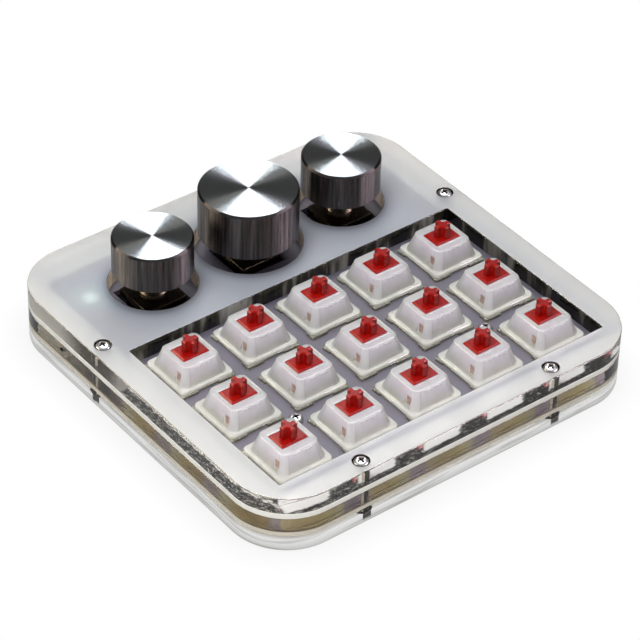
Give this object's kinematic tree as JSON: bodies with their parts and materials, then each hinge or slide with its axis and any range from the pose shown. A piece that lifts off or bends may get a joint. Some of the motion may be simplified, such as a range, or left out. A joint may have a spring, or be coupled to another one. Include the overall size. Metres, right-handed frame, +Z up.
{
  "type": "macro keypad",
  "caption": "Clear layered desk keypad with cross-post key switches on springs and three round metal knobs that turn without end and push, open without keycaps",
  "frame": {"origin": "centre of the case's underside", "axes": "+X to the right along a row of keys, +Y from the keys to the knobs and the cable inlet, +Z up out of the top face"},
  "size_m": [0.1116, 0.109, 0.0315],
  "materials": {
    "stem_red": "translucent red, glossy",
    "spring_steel": "bright wire",
    "knob_metal": "turned, satin",
    "rotor_plastic": "moulded",
    "shaft_metal": "turned",
    "black_plastic": "moulded",
    "cover_metal": "blackened",
    "frosted_acrylic": "frosted face, polished edges",
    "clear_acrylic": "clear, polished edges",
    "ivory_acrylic": "translucent ivory, satin edges",
    "plate_grey": "satin grey",
    "board": "solder mask",
    "milky_plastic": "translucent milky white",
    "contact_brass": "plain",
    "led_lens": "diffuse lens",
    "shell_steel": "drawn shell",
    "screw_steel": "nickel plated"
  },
  "bodies": {
    "case": {"spring_1": "spring_steel", "spring_2": "spring_steel", "spring_3": "spring_steel", "spring_4": "spring_steel", "spring_5": "spring_steel", "spring_6": "spring_steel", "spring_7": "spring_steel", "spring_8": "spring_steel", "spring_9": "spring_steel", "spring_10": "spring_steel", "spring_11": "spring_steel", "spring_12": "spring_steel", "spring_13": "spring_steel", "spring_14": "spring_steel", "spring_15": "spring_steel", "encoder_bodies": "black_plastic", "encoder_covers": "cover_metal", "encoder_domes": "spring_steel", "top_plate": "frosted_acrylic", "plate_ring": "ivory_acrylic", "middle_frame": "clear_acrylic", "board_ring": "ivory_acrylic", "bottom_plate": "clear_acrylic", "switch_plate": "plate_grey", "pcb": "board", "switch_top_housings": "milky_plastic", "switch_bottom_housings": "milky_plastic", "switch_contacts": "contact_brass", "hotswap_sockets": "black_plastic", "board_chips": "black_plastic", "status_led": "led_lens", "usb_socket": "shell_steel", "case_screws": "screw_steel", "case_nuts": "screw_steel", "standoffs": "contact_brass", "standoff_screws": "screw_steel"},
    "key_1": {"stem_1": "stem_red"},
    "key_2": {"stem_2": "stem_red"},
    "key_3": {"stem_3": "stem_red"},
    "key_4": {"stem_4": "stem_red"},
    "key_5": {"stem_5": "stem_red"},
    "key_6": {"stem_6": "stem_red"},
    "key_7": {"stem_7": "stem_red"},
    "key_8": {"stem_8": "stem_red"},
    "key_9": {"stem_9": "stem_red"},
    "key_10": {"stem_10": "stem_red"},
    "key_11": {"stem_11": "stem_red"},
    "key_12": {"stem_12": "stem_red"},
    "key_13": {"stem_13": "stem_red"},
    "key_14": {"stem_14": "stem_red"},
    "key_15": {"stem_15": "stem_red"},
    "rotor_left": {"encoder_rotor_left": "rotor_plastic"},
    "dial_left": {"encoder_shaft_left": "shaft_metal", "knob_left": "knob_metal"},
    "rotor_center": {"encoder_rotor_center": "rotor_plastic"},
    "dial_center": {"encoder_shaft_center": "shaft_metal", "knob_center": "knob_metal"},
    "rotor_right": {"encoder_rotor_right": "rotor_plastic"},
    "dial_right": {"encoder_shaft_right": "shaft_metal", "knob_right": "knob_metal"}
  },
  "joints": [
    {"name": "key_1_press", "type": "slide", "parent": "case", "child": "key_1", "axis": [0, 0, -1], "range_m": [0, 0.004], "stiffness_N_per_m": 75, "springref_m": -0.004, "deforming": ["spring_1"]},
    {"name": "key_2_press", "type": "slide", "parent": "case", "child": "key_2", "axis": [0, 0, -1], "range_m": [0, 0.004], "stiffness_N_per_m": 75, "springref_m": -0.004, "deforming": ["spring_2"]},
    {"name": "key_3_press", "type": "slide", "parent": "case", "child": "key_3", "axis": [0, 0, -1], "range_m": [0, 0.004], "stiffness_N_per_m": 75, "springref_m": -0.004, "deforming": ["spring_3"]},
    {"name": "key_4_press", "type": "slide", "parent": "case", "child": "key_4", "axis": [0, 0, -1], "range_m": [0, 0.004], "stiffness_N_per_m": 75, "springref_m": -0.004, "deforming": ["spring_4"]},
    {"name": "key_5_press", "type": "slide", "parent": "case", "child": "key_5", "axis": [0, 0, -1], "range_m": [0, 0.004], "stiffness_N_per_m": 75, "springref_m": -0.004, "deforming": ["spring_5"]},
    {"name": "key_6_press", "type": "slide", "parent": "case", "child": "key_6", "axis": [0, 0, -1], "range_m": [0, 0.004], "stiffness_N_per_m": 75, "springref_m": -0.004, "deforming": ["spring_6"]},
    {"name": "key_7_press", "type": "slide", "parent": "case", "child": "key_7", "axis": [0, 0, -1], "range_m": [0, 0.004], "stiffness_N_per_m": 75, "springref_m": -0.004, "deforming": ["spring_7"]},
    {"name": "key_8_press", "type": "slide", "parent": "case", "child": "key_8", "axis": [0, 0, -1], "range_m": [0, 0.004], "stiffness_N_per_m": 75, "springref_m": -0.004, "deforming": ["spring_8"]},
    {"name": "key_9_press", "type": "slide", "parent": "case", "child": "key_9", "axis": [0, 0, -1], "range_m": [0, 0.004], "stiffness_N_per_m": 75, "springref_m": -0.004, "deforming": ["spring_9"]},
    {"name": "key_10_press", "type": "slide", "parent": "case", "child": "key_10", "axis": [0, 0, -1], "range_m": [0, 0.004], "stiffness_N_per_m": 75, "springref_m": -0.004, "deforming": ["spring_10"]},
    {"name": "key_11_press", "type": "slide", "parent": "case", "child": "key_11", "axis": [0, 0, -1], "range_m": [0, 0.004], "stiffness_N_per_m": 75, "springref_m": -0.004, "deforming": ["spring_11"]},
    {"name": "key_12_press", "type": "slide", "parent": "case", "child": "key_12", "axis": [0, 0, -1], "range_m": [0, 0.004], "stiffness_N_per_m": 75, "springref_m": -0.004, "deforming": ["spring_12"]},
    {"name": "key_13_press", "type": "slide", "parent": "case", "child": "key_13", "axis": [0, 0, -1], "range_m": [0, 0.004], "stiffness_N_per_m": 75, "springref_m": -0.004, "deforming": ["spring_13"]},
    {"name": "key_14_press", "type": "slide", "parent": "case", "child": "key_14", "axis": [0, 0, -1], "range_m": [0, 0.004], "stiffness_N_per_m": 75, "springref_m": -0.004, "deforming": ["spring_14"]},
    {"name": "key_15_press", "type": "slide", "parent": "case", "child": "key_15", "axis": [0, 0, -1], "range_m": [0, 0.004], "stiffness_N_per_m": 75, "springref_m": -0.004, "deforming": ["spring_15"]},
    {"name": "knob_left_turn", "type": "hinge", "parent": "case", "child": "rotor_left", "pos_m": [-0.02857, 0.03022, 0], "axis": [0, 0, 1], "continuous": true},
    {"name": "knob_left_push", "type": "slide", "parent": "rotor_left", "child": "dial_left", "axis": [0, 0, -1], "range_m": [0, 0.0005], "stiffness_N_per_m": 2000, "springref_m": -0.0015},
    {"name": "knob_center_turn", "type": "hinge", "parent": "case", "child": "rotor_center", "pos_m": [0, 0.03022, 0], "axis": [0, 0, 1], "continuous": true},
    {"name": "knob_center_push", "type": "slide", "parent": "rotor_center", "child": "dial_center", "axis": [0, 0, -1], "range_m": [0, 0.0005], "stiffness_N_per_m": 2000, "springref_m": -0.0015},
    {"name": "knob_right_turn", "type": "hinge", "parent": "case", "child": "rotor_right", "pos_m": [0.02857, 0.03022, 0], "axis": [0, 0, 1], "continuous": true},
    {"name": "knob_right_push", "type": "slide", "parent": "rotor_right", "child": "dial_right", "axis": [0, 0, -1], "range_m": [0, 0.0005], "stiffness_N_per_m": 2000, "springref_m": -0.0015}
  ]
}
